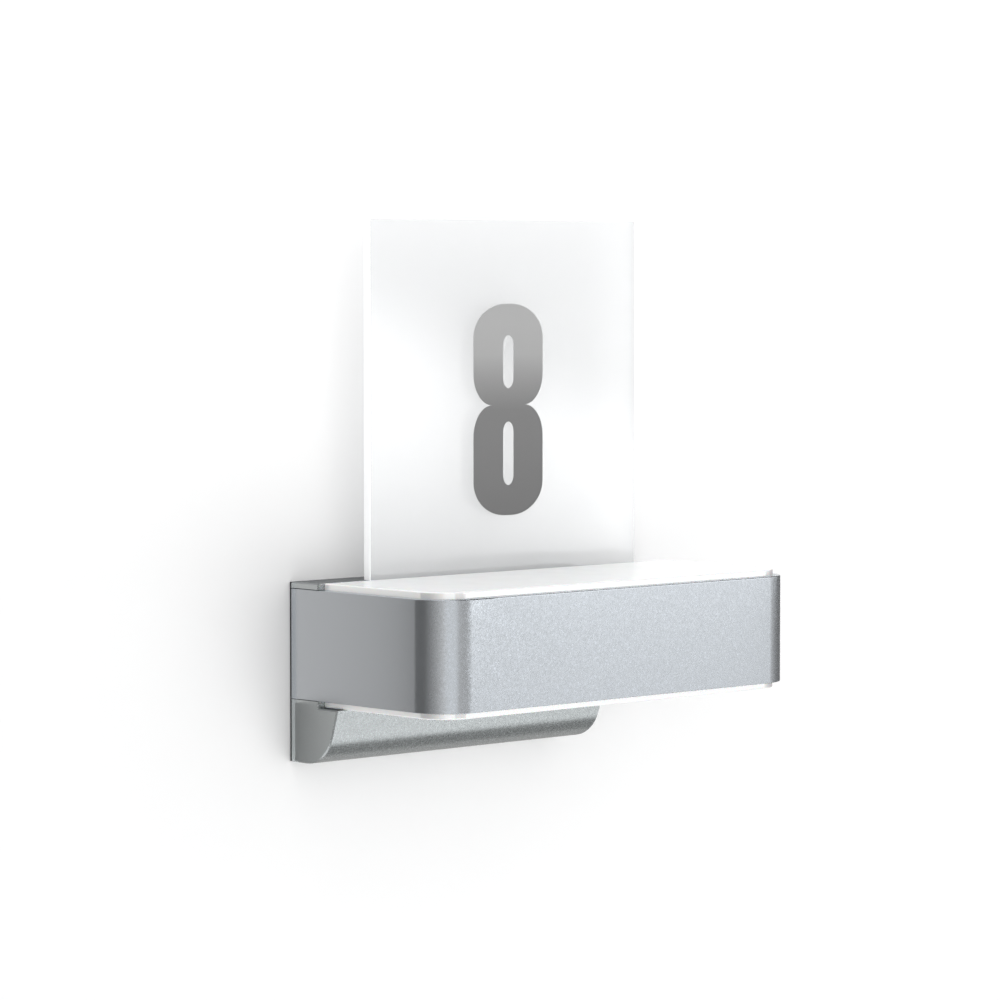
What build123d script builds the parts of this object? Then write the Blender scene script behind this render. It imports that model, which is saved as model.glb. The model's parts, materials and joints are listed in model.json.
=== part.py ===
"""House-number wall light with a built-in motion sensor.

A wall housing carries a flat lamp head: a bent metal band with an opal tray above and below.
A clear number panel stands in a slot between the head and the housing and lifts out upwards.
X runs to the right seen from the front, Y into the wall and Z up, in millimetres.
The origin lies on the wall, midway between the two wall screws.
"""
import os
from math import cos, radians, tan

from build123d import *

# Lamp head
head_width = 230.0
head_reach = 104.0  # wall to the front of the band
head_gap = 20.2  # wall to the back of the lamp head
band_height = 51.0
band_wall = 3.2
corner_radius = 18.5  # outside of the band's two front corners
rim_bevel = 0.4
rim_drop = 12.0  # wall screws down to the band's lower rim
tray_proud = 3.0  # the opal trays stand this far out of the rims
tray_wall = 2.0
tray_skirt = 6.0  # depth of a tray's skirt below the rim
tray_bevel = 0.7
seal_thickness = 1.5
frame_wall = 2.0
ledge_width = 7.0  # ledge inside the frame that carries the heat spreader
ledge_thickness = 2.5
spreader_thickness = 3.0

# Light boards
led_margin_x = 22.0  # outside of the head to the end of a light board
led_margin_y = 16.0
led_columns = 8
led_rows = 3
led_length = 3.5
led_depth = 2.8
led_height = 1.0
board_thickness = 1.6

# Wall housing
housing_width = 171.0
housing_wall = 2.4
edge_bevel = 0.6
nose_drop = 29.2  # the lower nose hangs this far below the band's lower rim
nose_reach = 34.4  # wall to the nose's front, at the level of the band's lower rim
nose_lean = 17.0  # degrees that the nose's front leans back
nose_radius = 19.0
gasket_thickness = 1.2
gasket_inset = 0.2

# Number panel
panel_width = 172.5
panel_height = 189.5
panel_thickness = 4.5
panel_shift = 3.0  # the panel stands this far right of the head's middle
panel_edge = 0.4
slot_depth = 22.5  # the panel stands this far down in its slot

# Wall plate and cable entry
plate_thickness = 2.0
plate_corner = 3.0
wall_screw_spacing = 130.0
wall_slot_width = 4.8
wall_slot_length = 9.0
cable_inset = 37.1  # cable entry in from the housing's inner right side
cable_drop = 12.6  # cable entry below the inside of the housing's top
cable_bore = 8.0
grommet_wall = 2.0
grommet_lip = 2.0
grommet_rim = 2.0  # thickness of the lip on the plate's front
hook_spacing = 80.0
hook_width = 16.0
hook_reach = 6.0
lug_inset = 5.0  # lugs in from the housing's inner sides
lug_width = 8.0
lug_reach = 12.0
lug_thickness = 2.5
lug_boss_height = 3.2

# Terminal block on the wall plate
terminal_drop = 25.0  # block below the cable entry
terminal_pitch = 8.0
terminal_poles = 3
terminal_depth = 12.0
terminal_height = 15.0
wire_hole = 3.0
terminal_screw = 3.0

# Driver board
driver_inset = 16.0  # board in from the housing's inner left side
driver_drop = 2.1  # board below the underside of the panel's slot
driver_length = 60.0
driver_height = 25.0
standoff_length = 2.0
standoff_width = 5.0
pin_width = 2.4  # moulded pins on the standoffs, staked over the boards
pin_end = 1.0
core_length = 18.0
core_height = 14.0
core_depth = 7.0
core_leg = 4.0
winding_wall = 2.6
winding_end = 1.5
capacitor_diameter = 8.0
capacitor_length = 14.0
choke_diameter = 10.0
choke_depth = 5.0

# Sensor board behind the nose's front
sensor_inset = 12.9  # board in from the housing's inner left side
sensor_rise = 13.6  # middle of the board above the nose's inner floor
sensor_length = 58.0
sensor_height = 11.0
sensor_standoff = 1.5
shield_length = 16.0
shield_height = 8.0
shield_depth = 3.0

# Setting dials under the nose
dial_inset = 49.5  # middle dial in from the housing's right end
dial_gap = 9.0  # wall to the dials' axes
dial_pitch = 18.0
dial_diameter = 8.4
dial_height = 4.5
dial_recess = 0.3
dial_slot_width = 1.2
dial_slot_depth = 1.2
spindle_diameter = 3.2
pot_size = 9.0
pot_height = 3.6
pot_floor = 0.8
control_margin = 8.0  # control board beyond the outer potentiometers
control_depth = 13.0

# Screws and clearances
screw_diameter = 3.0
screw_head = 5.5  # across the corners
screw_head_height = 2.0
boss_width = 8.0
boss_length = 5.0
head_screw_drop = 3.5  # head screws below the frame's ledge
head_screw_inset = 8.0  # outer head screws in from the housing's inner sides
band_screw_bite = 1.8
sleeve_diameter = 8.0
sleeve_bore = 4.5
sleeve_end = 1.0
band_fit = 0.4  # frame and trays inside the band
tray_fit = 0.3  # tray clear of the housing
slot_fit = 0.3  # panel in its slot, each side
rebate_fit = 0.15
spreader_fit = 0.3
nose_fit = 0.3  # nose below the lower tray
plate_fit = 0.5
screw_fit = 0.15
dial_fit = 0.4
spindle_fit = 0.3
winding_fit = 0.1

# Levels and places worked out from the sizes above
left_x = -housing_width / 2
right_x = left_x + head_width
housing_right = housing_width / 2
head_mid_x = left_x + head_width / 2
front_y = -head_reach
head_back = -head_gap
housing_back = -gasket_thickness
head_mid_y = (front_y + head_back) / 2
rim_low = -rim_drop
rim_high = rim_low + band_height
top_z = rim_high + tray_proud
nose_top = rim_low - tray_proud - nose_fit
nose_bottom = rim_low - nose_drop
lean = radians(nose_lean)
head_inset = band_wall + band_fit
frame_low = rim_low + tray_skirt + seal_thickness
frame_high = rim_high - tray_skirt - seal_thickness
spreader_low = (rim_low + rim_high - spreader_thickness) / 2
spreader_high = spreader_low + spreader_thickness
ledge_z = top_z - slot_depth
panel_mid_x = head_mid_x + panel_shift
panel_left = panel_mid_x - panel_width / 2
panel_front = head_back + slot_fit
slot_back = panel_front + panel_thickness + slot_fit
cavity_left = left_x + band_wall + housing_wall
cavity_right = housing_right - housing_wall
cavity_top = top_z - housing_wall
cavity_bottom = nose_bottom + housing_wall
cavity_front = head_back + housing_wall
plate_front = -plate_thickness
lug_bottom = cavity_bottom + lug_boss_height
cable_x = cavity_right - cable_inset
cable_z = cavity_top - cable_drop
terminal_z = cable_z - terminal_drop
driver_x = cavity_left + driver_inset + driver_length / 2
driver_z = ledge_z - housing_wall - driver_drop - driver_height / 2
sensor_x = cavity_left + sensor_inset + sensor_length / 2
sensor_z = cavity_bottom + sensor_rise
dial_x = housing_right - dial_inset
dial_y = -dial_gap
dial_places = [(dial_x - dial_pitch, dial_y), (dial_x, dial_y), (dial_x + dial_pitch, dial_y)]
dial_low = nose_bottom + dial_recess
pot_low = dial_low + dial_height + spindle_fit
pot_high = pot_low + pot_height
driver_back = cavity_front + standoff_length + board_thickness
led_board_length = head_width - 2 * led_margin_x
led_board_depth = head_reach - head_gap - 2 * led_margin_y
head_screw_z = spreader_low - ledge_thickness - head_screw_drop
head_screw_places = [
    (cavity_left + head_screw_inset, head_screw_z),
    (driver_x + driver_length / 2 + boss_width, head_screw_z),
    (cavity_right - head_screw_inset, head_screw_z),
]
sleeve_x = driver_x
sleeve_z = frame_low + sleeve_diameter

os.makedirs("parts", exist_ok=True)


def nose_y(z, inset=0.0):
    """Y of the nose's leaning front at height z, or of a face that lies inset behind it."""
    return -nose_reach + (rim_low - z) * tan(lean) + inset / cos(lean)


def head_outline(inset, back):
    """Plan outline of the head, inset from the band's outside, that ends at Y = back."""
    with BuildSketch() as outline:
        with BuildLine():
            run = FilletPolyline(
                (left_x + inset, back),
                (left_x + inset, front_y + inset),
                (right_x - inset, front_y + inset),
                (right_x - inset, back),
                radius=corner_radius - inset,
            )
            Line(run @ 1, run @ 0)
        make_face()
    return outline.sketch


def head_ring(low, height, inset, wall, back):
    """Upright ring along the head's plan outline, added to the part being built."""
    with BuildSketch(Plane.XY.offset(low)) as ring:
        add(head_outline(inset, back))
        add(head_outline(inset + wall, back - wall), mode=Mode.SUBTRACT)
    extrude(ring.sketch, amount=height)


def facing(x, y, z, direction):
    """Plane at a point whose normal is the given direction, for screws, holes and bosses."""
    return Plane(origin=(x, y, z), z_dir=direction)


def rod(plane, diameter, length, mode=Mode.ADD):
    """Round rod from the plane along its normal."""
    with BuildSketch(plane) as section:
        Circle(diameter / 2)
    extrude(section.sketch, amount=length, mode=mode)


def post(plane, width, length):
    """Square moulded post from the plane along its normal."""
    with BuildSketch(plane) as section:
        Rectangle(width, width)
    extrude(section.sketch, amount=length)


def screw(plane, length):
    """Hexagon-head screw: the shank runs along the plane's normal, the head stands behind it."""
    rod(plane, screw_diameter, length)
    with BuildSketch(plane) as head:
        RegularPolygon(screw_head / 2, 6)
    extrude(head.sketch, amount=-screw_head_height)


def save(part, name):
    part.label = name
    export_step(part, f"parts/{name}.step")


inward = (0, 1, 0)
outward = (0, -1, 0)
upward = (0, 0, 1)
downward = (0, 0, -1)

# Head band: painted aluminium, its left arm runs back to the wall
band_screw_z = (spreader_high + frame_high) / 2
band_screw_left = left_x + head_inset + frame_wall
band_screw_right = right_x - head_inset - frame_wall
band_screw_length = frame_wall + band_fit + band_screw_bite
band_screw_planes = [
    facing(band_screw_left, head_mid_y, band_screw_z, (-1, 0, 0)),
    facing(band_screw_right, head_mid_y, band_screw_z, (1, 0, 0)),
]

with BuildPart() as head_band:
    with BuildSketch(Plane.XY.offset(rim_low)):
        with BuildLine():
            outside = FilletPolyline(
                (left_x, housing_back),
                (left_x, front_y),
                (right_x, front_y),
                (right_x, head_back),
                radius=corner_radius,
            )
            inside = FilletPolyline(
                (left_x + band_wall, housing_back),
                (left_x + band_wall, front_y + band_wall),
                (right_x - band_wall, front_y + band_wall),
                (right_x - band_wall, head_back),
                radius=corner_radius - band_wall,
            )
            Line(outside @ 0, inside @ 0)
            Line(outside @ 1, inside @ 1)
        make_face()
    extrude(amount=band_height)
    rims = head_band.edges().group_by(Axis.Z)
    chamfer(rims[0] + rims[-1], rim_bevel)
    for plane in band_screw_planes:
        rod(plane, screw_diameter + 2 * screw_fit, band_screw_length, mode=Mode.SUBTRACT)
save(head_band.part, "head_band")

# Head frame: moulded ring inside the band with a ledge for the heat spreader
ledge_mid = head_inset + frame_wall + ledge_width / 2
spreader_screw_places = [(left_x + ledge_mid, head_mid_y), (right_x - ledge_mid, head_mid_y)]

with BuildPart() as head_frame:
    head_ring(frame_low, frame_high - frame_low, head_inset, frame_wall, head_back)
    head_ring(
        spreader_low - ledge_thickness,
        ledge_thickness,
        head_inset + frame_wall / 2,
        ledge_width + frame_wall / 2,
        head_back - frame_wall / 2,
    )
    for plane in band_screw_planes:
        rod(plane, screw_diameter + 2 * screw_fit, band_screw_length, mode=Mode.SUBTRACT)
    for x, y in spreader_screw_places:
        hole = facing(x, y, spreader_low, downward)
        rod(hole, screw_diameter + 2 * screw_fit, ledge_thickness, mode=Mode.SUBTRACT)
    for x, z in head_screw_places:
        hole = facing(x, head_back - frame_wall, z, inward)
        rod(hole, screw_diameter + 2 * screw_fit, frame_wall, mode=Mode.SUBTRACT)
    sleeve_hole = facing(sleeve_x, head_back - frame_wall, sleeve_z, inward)
    rod(sleeve_hole, sleeve_diameter, frame_wall, mode=Mode.SUBTRACT)
save(head_frame.part, "head_frame")

# Heat spreader: aluminium plate on the ledge, with a light board on each face
with BuildPart() as heat_spreader:
    with BuildSketch(Plane.XY.offset(spreader_low)):
        add(head_outline(head_inset + frame_wall + spreader_fit, head_back - frame_wall - spreader_fit))
        with Locations(*spreader_screw_places):
            Circle(screw_diameter / 2 + screw_fit, mode=Mode.SUBTRACT)
    extrude(amount=spreader_thickness)
save(heat_spreader.part, "heat_spreader")

with BuildPart() as spreader_screws:
    for x, y in spreader_screw_places:
        screw(facing(x, y, spreader_high, downward), spreader_thickness + ledge_thickness)
save(spreader_screws.part, "spreader_screws")

# Light boards with their diodes, bonded to the spreader above and below
led_levels = {
    "upper": (spreader_high, 1),
    "lower": (spreader_low, -1),
}
for side, (level, sign) in led_levels.items():
    with BuildPart() as led_board:
        with BuildSketch(Plane.XY.offset(level)):
            with Locations((head_mid_x, head_mid_y)):
                Rectangle(led_board_length, led_board_depth)
        extrude(amount=sign * board_thickness)
    save(led_board.part, f"{side}_led_board")

    with BuildPart() as leds:
        with BuildSketch(Plane.XY.offset(level + sign * board_thickness)):
            with Locations((head_mid_x, head_mid_y)):
                led_pitch_x = led_board_length / led_columns
                led_pitch_y = led_board_depth / led_rows
                with GridLocations(led_pitch_x, led_pitch_y, led_columns, led_rows):
                    Rectangle(led_length, led_depth)
        extrude(amount=sign * led_height)
    save(leds.part, f"{side}_leds")

# Seals and opal trays: each tray stands with its skirt on a seal on the frame
tray_back = head_back - tray_fit
tray_levels = {
    "upper": (rim_high, frame_high, 1),
    "lower": (rim_low, frame_low, -1),
}
for side, (rim, seat, sign) in tray_levels.items():
    with BuildPart() as seal:
        head_ring(seat, sign * seal_thickness, head_inset, tray_wall, tray_back)
    save(seal.part, f"{side}_seal")

    with BuildPart() as diffuser:
        with BuildSketch(Plane.XY.offset(rim)):
            add(head_outline(head_inset, tray_back))
        extrude(amount=sign * tray_proud)
        outer_face = diffuser.faces().sort_by(Axis.Z)[-1 if sign > 0 else 0]
        chamfer(outer_face.edges(), tray_bevel)
        head_ring(rim, -sign * tray_skirt, head_inset, tray_wall, tray_back)
    save(diffuser.part, f"{side}_diffuser")

# Wall housing: moulded shell, open towards the wall, with the panel's slot and the lower nose
sensor_face = Plane(
    origin=(sensor_x, nose_y(sensor_z), sensor_z),
    x_dir=(1, 0, 0),
    z_dir=(0, cos(lean), tan(lean) * cos(lean)),
)
sensor_post_span = sensor_length - 2 * standoff_width
control_length = 2 * dial_pitch + pot_size + 2 * control_margin
control_post_span = control_length - standoff_width
driver_post_span = driver_length - standoff_width
pin_space = pin_width + 2 * screw_fit
lug_places = [(x, plate_front - lug_reach / 2) for x in (cavity_left + lug_inset, cavity_right - lug_inset)]

with BuildPart() as wall_housing:
    with BuildSketch(Plane.YZ.offset(left_x)):
        with BuildLine():
            Polyline(
                (housing_back, top_z),
                (head_back, top_z),
                (head_back, nose_top),
                (nose_y(nose_top), nose_top),
                (nose_y(nose_bottom), nose_bottom),
                (housing_back, nose_bottom),
                close=True,
            )
        make_face()
        toe = vertices().filter_by(lambda v: v.Y < cavity_bottom).sort_by(Axis.X)[0]
        fillet(toe, nose_radius)
    extrude(amount=housing_width)
    ends = edges().group_by(Axis.X)
    chamfer((ends[0] + ends[-1]).filter_by(lambda e: e.center().Y < housing_back - edge_bevel), edge_bevel)

    # Rebate in the left end for the band's arm, and the slot for the number panel
    arm_space = band_height + 2 * rebate_fit
    with Locations((left_x, housing_back, rim_low - rebate_fit)):
        Box(band_wall, head_gap, arm_space, align=(Align.MIN, Align.MAX, Align.MIN), mode=Mode.SUBTRACT)
    with Locations((panel_left - slot_fit, slot_back, ledge_z)):
        Box(head_width, head_gap, slot_depth, align=(Align.MIN, Align.MAX, Align.MIN), mode=Mode.SUBTRACT)

    # Hollow inside, open at the back
    with BuildSketch(Plane.YZ.offset(cavity_left)):
        with BuildLine():
            Polyline(
                (housing_back, cavity_top),
                (slot_back + housing_wall, cavity_top),
                (slot_back + housing_wall, ledge_z - housing_wall),
                (cavity_front, ledge_z - housing_wall),
                (cavity_front, nose_top - housing_wall),
                (nose_y(nose_top - housing_wall, housing_wall), nose_top - housing_wall),
                (nose_y(cavity_bottom, housing_wall), cavity_bottom),
                (housing_back, cavity_bottom),
                close=True,
            )
        make_face()
        toe = vertices().filter_by(lambda v: v.Y < cavity_bottom + housing_wall).sort_by(Axis.X)[0]
        fillet(toe, nose_radius - housing_wall)
    extrude(amount=cavity_right - cavity_left, mode=Mode.SUBTRACT)
    block_right = panel_left - slot_fit - housing_wall
    with Locations((cavity_left, cavity_front, cavity_top)):
        Box(
            block_right - cavity_left,
            slot_back - head_back,
            cavity_top - ledge_z + housing_wall,
            align=(Align.MIN, Align.MIN, Align.MAX),
            mode=Mode.SUBTRACT,
        )

    # Bosses and holes: lamp head, driver, sensor board, control board, wall plate and dials
    for x, z in head_screw_places:
        post(facing(x, cavity_front, z, inward), boss_width, boss_length)
        hole = facing(x, head_back, z, inward)
        rod(hole, screw_diameter + 2 * screw_fit, housing_wall + boss_length, mode=Mode.SUBTRACT)
    rod(facing(sleeve_x, head_back, sleeve_z, inward), sleeve_diameter, housing_wall, mode=Mode.SUBTRACT)
    for side in (-1, 1):
        post_x = driver_x + side * driver_post_span / 2
        seat = facing(post_x, cavity_front, driver_z, inward)
        post(seat, standoff_width, standoff_length)
        post(seat, pin_width, standoff_length + board_thickness + pin_end)
    with BuildSketch(sensor_face.offset(housing_wall)):
        with GridLocations(sensor_post_span, 0, 2, 1):
            Rectangle(standoff_width, standoff_width)
    extrude(amount=sensor_standoff)
    with BuildSketch(sensor_face.offset(housing_wall)):
        with GridLocations(sensor_post_span, 0, 2, 1):
            Rectangle(pin_width, pin_width)
    extrude(amount=sensor_standoff + board_thickness + pin_end)
    for side in (-1, 1):
        seat = facing(dial_x + side * control_post_span / 2, dial_y, cavity_bottom, upward)
        post(seat, standoff_width, pot_high - cavity_bottom)
        post(seat, pin_width, pot_high - cavity_bottom + board_thickness + pin_end)
    for x, y in lug_places:
        post(facing(x, y, cavity_bottom, upward), boss_width, lug_boss_height)
        hole = facing(x, y, nose_bottom, upward)
        rod(hole, screw_head + 2 * screw_fit, housing_wall + screw_fit, mode=Mode.SUBTRACT)
        rod(hole, screw_diameter + 2 * screw_fit, housing_wall + lug_boss_height, mode=Mode.SUBTRACT)
    for x, y in dial_places:
        hole = facing(x, y, nose_bottom, upward)
        rod(hole, dial_diameter + 2 * dial_fit, pot_low - nose_bottom, mode=Mode.SUBTRACT)
save(wall_housing.part, "wall_housing")

# Screws that hold the head to the housing and the band to its frame, and the lead's sleeve
with BuildPart() as head_screws:
    for x, z in head_screw_places:
        screw(facing(x, head_back - frame_wall, z, inward), frame_wall + housing_wall + boss_length)
save(head_screws.part, "head_screws")

with BuildPart() as band_screws:
    for plane in band_screw_planes:
        screw(plane, band_screw_length - screw_fit)
save(band_screws.part, "band_screws")

with BuildPart() as lead_sleeve:
    sleeve_length = frame_wall + housing_wall + 2 * sleeve_end
    start = facing(sleeve_x, head_back - frame_wall - sleeve_end, sleeve_z, inward)
    rod(start, sleeve_diameter, sleeve_length)
    rod(start, sleeve_bore, sleeve_length, mode=Mode.SUBTRACT)
save(lead_sleeve.part, "lead_sleeve")

# Wall gasket: soft ring between the housing's open back and the wall
with BuildPart() as wall_gasket:
    with BuildSketch(Plane.XZ):
        middle_x = 0.0
        with Locations((middle_x, (top_z + nose_bottom) / 2)):
            Rectangle(housing_width - 2 * gasket_inset, top_z - nose_bottom - 2 * gasket_inset)
        with Locations(((cavity_left + cavity_right) / 2, (cavity_top + cavity_bottom) / 2)):
            Rectangle(cavity_right - cavity_left, cavity_top - cavity_bottom, mode=Mode.SUBTRACT)
    extrude(amount=gasket_thickness)
save(wall_gasket.part, "wall_gasket")

# Wall plate: pressed steel, screwed to the wall; the housing hangs on its hooks
hook_top = cavity_top - slot_fit
with BuildPart() as wall_plate:
    with BuildSketch(Plane.XZ):
        with Locations(((cavity_left + cavity_right) / 2, (cavity_top + cavity_bottom) / 2)):
            plate_width = cavity_right - cavity_left - 2 * plate_fit
            plate_height = cavity_top - cavity_bottom - 2 * plate_fit
            RectangleRounded(plate_width, plate_height, plate_corner)
        with GridLocations(wall_screw_spacing, 0, 2, 1):
            SlotOverall(wall_slot_length, wall_slot_width, mode=Mode.SUBTRACT)
        with Locations((cable_x, cable_z)):
            Circle(cable_bore / 2 + grommet_wall, mode=Mode.SUBTRACT)
    extrude(amount=plate_thickness)
    for side in (-1, 1):
        with Locations((side * hook_spacing / 2, plate_front, hook_top)):
            Box(hook_width, hook_reach, plate_thickness, align=(Align.CENTER, Align.MAX, Align.MAX))
    for x, y in lug_places:
        with Locations((x, plate_front, lug_bottom)):
            Box(lug_width, lug_reach, lug_thickness, align=(Align.CENTER, Align.MAX, Align.MIN))
        hole = facing(x, y, lug_bottom, upward)
        rod(hole, screw_diameter + 2 * screw_fit, lug_thickness, mode=Mode.SUBTRACT)
save(wall_plate.part, "wall_plate")

with BuildPart() as housing_screws:
    for x, y in lug_places:
        seat = nose_bottom + housing_wall + screw_fit
        screw(facing(x, y, seat, upward), lug_bottom + lug_thickness - seat)
save(housing_screws.part, "housing_screws")

# Cable grommet: rubber ring in the wall plate with a lip on its front
with BuildPart() as cable_grommet:
    mouth = facing(cable_x, 0, cable_z, outward)
    rod(mouth, cable_bore + 2 * grommet_wall, plate_thickness)
    lip = facing(cable_x, plate_front, cable_z, outward)
    rod(lip, cable_bore + 2 * grommet_wall + 2 * grommet_lip, grommet_rim)
    rod(mouth, cable_bore, plate_thickness + grommet_rim, mode=Mode.SUBTRACT)
save(cable_grommet.part, "cable_grommet")

# Terminal block: three poles, wires from above and below, clamp screws from the front
terminal_width = terminal_pitch * terminal_poles
terminal_well = terminal_screw + 2 * screw_fit
with BuildPart() as terminal_block:
    with Locations((cable_x, plate_front, terminal_z)):
        Box(terminal_width, terminal_depth, terminal_height, align=(Align.CENTER, Align.MAX, Align.CENTER))
    with BuildSketch(Plane.XY.offset(terminal_z - terminal_height / 2)):
        with Locations((cable_x, plate_front - terminal_depth / 2)):
            with GridLocations(terminal_pitch, 0, terminal_poles, 1):
                Rectangle(wire_hole, wire_hole)
    extrude(amount=terminal_height, mode=Mode.SUBTRACT)
    with BuildSketch(Plane.XZ.offset(-plate_front + terminal_depth)):
        with Locations((cable_x, terminal_z)):
            with GridLocations(terminal_pitch, 0, terminal_poles, 1):
                Rectangle(terminal_well, terminal_well)
    extrude(amount=-terminal_depth / 2, mode=Mode.SUBTRACT)
save(terminal_block.part, "terminal_block")

with BuildPart() as terminal_screws:
    with BuildSketch(Plane.XZ.offset(-plate_front + terminal_depth / 2)):
        with Locations((cable_x, terminal_z)):
            with GridLocations(terminal_pitch, 0, terminal_poles, 1):
                Circle(terminal_screw / 2)
    extrude(amount=terminal_depth / 3)
save(terminal_screws.part, "terminal_screws")

# Driver board on the housing's posts, with its transformer, capacitor and choke
driver_plane = Plane(origin=(driver_x, driver_back, driver_z), x_dir=(1, 0, 0), z_dir=inward)
with BuildPart() as driver_board:
    with BuildSketch(driver_plane):
        Rectangle(driver_length, driver_height)
        with GridLocations(driver_post_span, 0, 2, 1):
            Rectangle(pin_space, pin_space, mode=Mode.SUBTRACT)
    extrude(amount=-board_thickness)
save(driver_board.part, "driver_board")

core_window = (core_length - 3 * core_leg) / 2
core_window_height = core_height - core_leg
with BuildPart() as transformer_core:
    with BuildSketch(driver_plane.offset(winding_end)):
        Rectangle(core_length, core_height)
        with GridLocations(core_leg + core_window, 0, 2, 1):
            Rectangle(core_window, core_window_height, mode=Mode.SUBTRACT)
    extrude(amount=core_depth)
save(transformer_core.part, "transformer_core")

winding_height = core_window_height - 2 * winding_fit
with BuildPart() as transformer_winding:
    with BuildSketch(Plane.XY.offset(driver_z - winding_height / 2)):
        with Locations((driver_x, driver_back + winding_end + core_depth / 2)):
            leg_space = core_leg + 2 * winding_fit
            Rectangle(leg_space + 2 * winding_wall, core_depth + 2 * winding_end)
            Rectangle(leg_space, core_depth + 2 * winding_fit, mode=Mode.SUBTRACT)
    extrude(amount=winding_height)
save(transformer_winding.part, "transformer_winding")

capacitor_start = facing(
    driver_x - driver_length / 3,
    driver_back + capacitor_diameter / 2,
    driver_z - capacitor_length / 2,
    upward,
)
with BuildPart() as driver_capacitor:
    rod(capacitor_start, capacitor_diameter, capacitor_length)
save(driver_capacitor.part, "driver_capacitor")

with BuildPart() as driver_choke:
    with BuildSketch(driver_plane):
        with Locations((driver_length / 3, 0)):
            Circle(choke_diameter / 2)
    extrude(amount=choke_depth)
save(driver_choke.part, "driver_choke")

# Motion sensor: radar board behind the nose's front, with a screening can
sensor_seat = sensor_face.offset(housing_wall + sensor_standoff)
with BuildPart() as sensor_board:
    with BuildSketch(sensor_seat):
        Rectangle(sensor_length, sensor_height)
        with GridLocations(sensor_post_span, 0, 2, 1):
            Rectangle(pin_space, pin_space, mode=Mode.SUBTRACT)
    extrude(amount=board_thickness)
save(sensor_board.part, "sensor_board")

with BuildPart() as sensor_shield:
    with BuildSketch(sensor_seat.offset(board_thickness)):
        Rectangle(shield_length, shield_height)
    extrude(amount=shield_depth)
save(sensor_shield.part, "sensor_shield")

# Control board with three potentiometers, and the dials that turn them
with BuildPart() as control_board:
    with BuildSketch(Plane.XY.offset(pot_high)):
        with Locations((dial_x, dial_y)):
            Rectangle(control_length, control_depth)
            with GridLocations(control_post_span, 0, 2, 1):
                Rectangle(pin_space, pin_space, mode=Mode.SUBTRACT)
    extrude(amount=board_thickness)
save(control_board.part, "control_board")

spindle_space = spindle_diameter + 2 * spindle_fit
with BuildPart() as potentiometers:
    with BuildSketch(Plane.XY.offset(pot_low)):
        with Locations(*dial_places):
            Rectangle(pot_size, pot_size)
    extrude(amount=pot_height)
    with BuildSketch(Plane.XY.offset(pot_low)):
        with Locations(*dial_places):
            Rectangle(spindle_space, spindle_space)
    extrude(amount=pot_height - pot_floor, mode=Mode.SUBTRACT)
save(potentiometers.part, "potentiometers")

for name, (x, y) in zip(("reach_dial", "time_dial", "twilight_dial"), dial_places):
    with BuildPart() as dial:
        rod(facing(x, y, dial_low, upward), dial_diameter, dial_height)
        rod(facing(x, y, dial_low + dial_height, upward), spindle_diameter, pot_height - pot_floor)
        with Locations((x, y, dial_low)):
            Box(
                dial_diameter,
                dial_slot_width,
                dial_slot_depth,
                align=(Align.CENTER, Align.CENTER, Align.MIN),
                mode=Mode.SUBTRACT,
            )
    save(dial.part, name)

# Number panel: clear sheet that stands on the slot's floor and lifts out upwards
with BuildPart() as number_panel:
    with BuildSketch(Plane.XY.offset(ledge_z)):
        with Locations((panel_mid_x, panel_front + panel_thickness / 2)):
            Rectangle(panel_width, panel_thickness)
    extrude(amount=panel_height)
    chamfer(number_panel.edges(), panel_edge)
save(number_panel.part, "number_panel")
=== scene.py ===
import json
from math import cos, pi, sin

import bmesh
import bpy
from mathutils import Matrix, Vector


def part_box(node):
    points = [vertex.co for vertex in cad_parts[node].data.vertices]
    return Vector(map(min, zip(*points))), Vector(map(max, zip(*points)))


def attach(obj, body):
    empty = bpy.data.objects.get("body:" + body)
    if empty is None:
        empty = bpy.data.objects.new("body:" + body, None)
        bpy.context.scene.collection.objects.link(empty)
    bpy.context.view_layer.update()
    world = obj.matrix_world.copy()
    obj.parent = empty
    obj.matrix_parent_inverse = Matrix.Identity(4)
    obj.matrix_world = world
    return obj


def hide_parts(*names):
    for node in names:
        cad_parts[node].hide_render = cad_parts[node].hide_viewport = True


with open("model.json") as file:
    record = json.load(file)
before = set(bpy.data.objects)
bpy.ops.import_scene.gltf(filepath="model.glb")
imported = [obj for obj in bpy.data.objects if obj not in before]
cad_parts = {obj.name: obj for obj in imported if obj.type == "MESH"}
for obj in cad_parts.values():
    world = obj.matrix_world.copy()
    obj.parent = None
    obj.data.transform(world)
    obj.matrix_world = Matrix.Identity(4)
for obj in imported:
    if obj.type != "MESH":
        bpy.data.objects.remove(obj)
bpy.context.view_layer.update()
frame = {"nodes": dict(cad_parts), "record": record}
nodes = frame["nodes"]
mm = 0.001
print("frame loaded with", len(nodes), "nodes")


# Helpers for colours, nodes and meshes

def hexColour(code):  # sRGB hex to linear colour
    shares = [int(code[i:i + 2], 16) / 255 for i in (1, 3, 5)]
    return [s / 12.92 if s <= 0.04045 else ((s + 0.055) / 1.055) ** 2.4 for s in shares] + [1.0]


def addNode(tree, kind, inputs=None, **settings):  # one node with its settings, input values and links
    node = tree.nodes.new(kind)
    for key, value in settings.items():
        setattr(node, key, value)
    for key, value in (inputs or {}).items():
        if isinstance(value, bpy.types.NodeSocket):
            tree.links.new(value, node.inputs[key])
        else:
            node.inputs[key].default_value = value
    return node


def setRamp(node, stops):  # colour ramp from (place, hex colour) pairs
    elements = node.color_ramp.elements
    while len(elements) < len(stops):
        elements.new(1.0)
    for element, (place, code) in zip(elements, stops):
        element.position = place
        element.color = hexColour(code)
    return node.outputs["Color"]


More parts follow.
